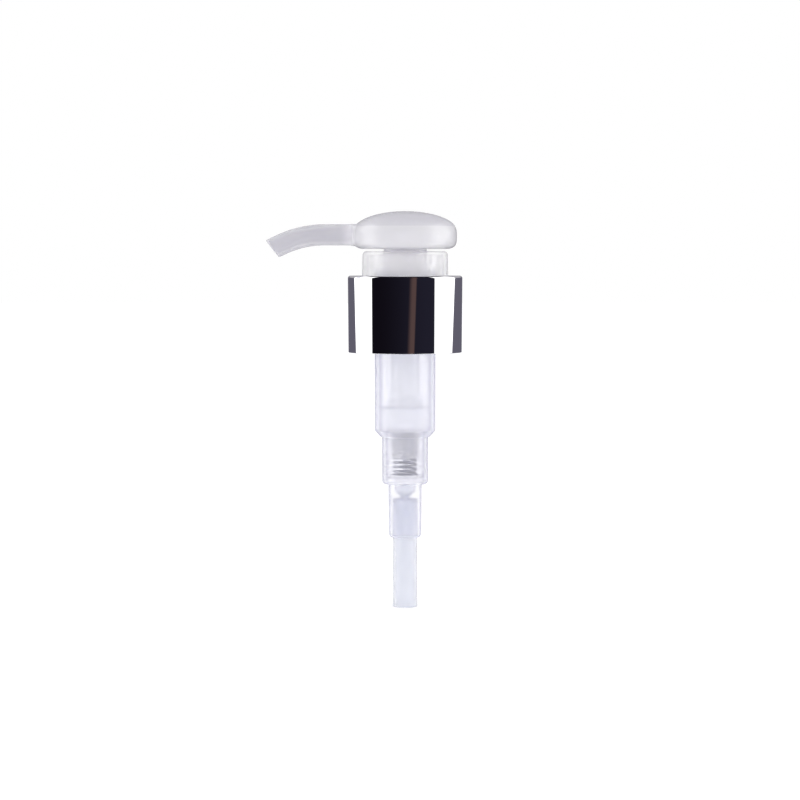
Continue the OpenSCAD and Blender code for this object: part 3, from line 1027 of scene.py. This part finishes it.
def studio_world():
    """White all round for the camera; softboxes, dark cards and grey walls for reflections."""
    world = bpy.data.worlds.new("studio")
    bpy.context.scene.world = world
    world.use_nodes = True
    nodes = Nodes(world.node_tree)
    x, y, z = nodes.split(nodes.where("Generated"))
    azimuth = nodes.math("DEGREES", nodes.math("ARCTAN2", x, nodes.math("MULTIPLY", y, -1.0)))
    elevation = nodes.math("DEGREES", nodes.math("ARCSINE", z))
    below = nodes.math("MINIMUM", nodes.math("MAXIMUM", elevation, LEAN_LOW), 0.0)

    def step(value, edge, soft):
        return nodes.ease(value, edge - soft, edge + soft)

    def leaning(slope):
        return nodes.math("SUBTRACT", azimuth, nodes.math("MULTIPLY", below, slope))

    def between(first, last):
        """1 between two edges, each (value, edge, softness), and 0 outside them."""
        return nodes.math("SUBTRACT", step(*first), step(*last))

    # what the first reflection sees
    white = (1.9, 1.9, 1.9, 1)
    brown = (0.09, 0.055, 0.052, 1)
    over = (0.03, 0.03, 0.035, 1)
    wall = nodes.mix(step(elevation, 9, 4), (0.125, 0.118, 0.155, 1), (0.45, 0.44, 0.47, 1))
    black = nodes.mix(step(azimuth, 0, 60), (0.005, 0.004, 0.007, 1), (0.015, 0.014, 0.025, 1))
    left, right = leaning(WHITE_LEFT_LEAN), leaning(WHITE_RIGHT_LEAN)
    middle = leaning(STREAK_LEAN)
    cards = (
        (black, (azimuth, BLACK_FROM, 1.2), (azimuth, BLACK_TO, 1.2)),
        (brown, (middle, STREAK_FROM, 5), (middle, STREAK_TO, CARD_SOFT)),
        (white, (azimuth, BLACK_TO, CARD_SOFT), (right, WHITE_RIGHT_TO, CARD_SOFT)),
        (white, (left, WHITE_LEFT_FROM, CARD_SOFT), (azimuth, BLACK_FROM, CARD_SOFT)),
    )
    reflected = wall
    for card, first, last in cards:
        reflected = nodes.mix(between(first, last), reflected, card)
    reflected = nodes.mix(step(elevation, CARDS_TOP, 4), reflected, over)

    # what lights the plastic and shows through it: bright in front and behind, dimmer at the sides
    away = nodes.math("ABSOLUTE", nodes.math("COSINE", nodes.math("RADIANS", azimuth)))
    through = nodes.mix(step(away, 0.4, 0.4), (1.0, 1.0, 1.02, 1), (1.1, 1.1, 1.11, 1))
    through = nodes.mix(step(elevation, 50, 25), through, (0.85, 0.85, 0.87, 1))

    path = nodes.add("ShaderNodeLightPath")
    first_bounce = nodes.math("LESS_THAN", path.outputs["Ray Depth"], FIRST_BOUNCE)
    mirrored = nodes.math("MULTIPLY", path.outputs["Is Glossy Ray"], first_bounce)
    seen = nodes.mix(mirrored, through, reflected)
    seen = nodes.mix(path.outputs["Is Camera Ray"], seen, (1.0, 1.0, 1.0, 1))
    background = nodes.add("ShaderNodeBackground")
    nodes.link(seen, background.inputs["Color"])
    output = nodes.add("ShaderNodeOutputWorld")
    nodes.link(background.outputs[0], output.inputs["Surface"])
    # nothing samples the world as a light, so each path sees the world that its last bounce asks for
    world.cycles.sampling_method = "NONE"


SOFTBOX_SIZE = (0.25, 0.5)
SOFTBOX_POWER = 0.08
SOFTBOX_AIM = (0, 0, -20)


def aim_at(thing, place, target):
    """Puts a light or camera at place, looking at target. Returns how far that is, in metres."""
    thing.location = Vector(place) * MM
    aim = Vector(target) * MM - thing.location
    thing.rotation_euler = aim.to_track_quat("-Z", "Y").to_euler()
    return aim.length


def softbox(name, place):
    data = bpy.data.lights.new(name, "AREA")
    data.shape = "RECTANGLE"
    data.size, data.size_y = SOFTBOX_SIZE
    data.energy = SOFTBOX_POWER
    light = new_object(name, data)
    light.visible_glossy = False
    aim_at(light, place, SOFTBOX_AIM)


LOOK_AT = (-1.46, 0, -31.25)
LOOK_FROM = (-1.46, -660, 5.9)
VIEW_WIDTH = 228.4      # what the picture is wide at the pump's axis
SENSOR_WIDTH = 36
CLIP_END = 50           # metres


def photo_camera():
    data = bpy.data.cameras.new("camera")
    camera = new_object("camera", data)
    distance = aim_at(camera, LOOK_FROM, LOOK_AT)
    data.sensor_width = SENSOR_WIDTH
    data.angle = 2 * math.atan(VIEW_WIDTH * MM / 2 / distance)
    data.clip_end = CLIP_END
    bpy.context.scene.camera = camera


studio_floor()
studio_world()
softbox("left_softbox", (-420, -60, 120))
softbox("right_softbox", (420, -160, 120))
photo_camera()

bpy.context.scene.view_settings.view_transform = "Standard"
for setting, value in (
        ("max_bounces", 20), ("diffuse_bounces", 12), ("transmission_bounces", 18),
        ("transparent_max_bounces", 16), ("caustics_refractive", True),
        ("use_denoising", True), ("denoiser", "OPENIMAGEDENOISE"),
        ("denoising_input_passes", "RGB_ALBEDO_NORMAL"), ("denoising_prefilter", "ACCURATE"),
        ("sample_clamp_indirect", 2.0), ("blur_glossy", 1.0)):
    setattr(bpy.context.scene.cycles, setting, value)
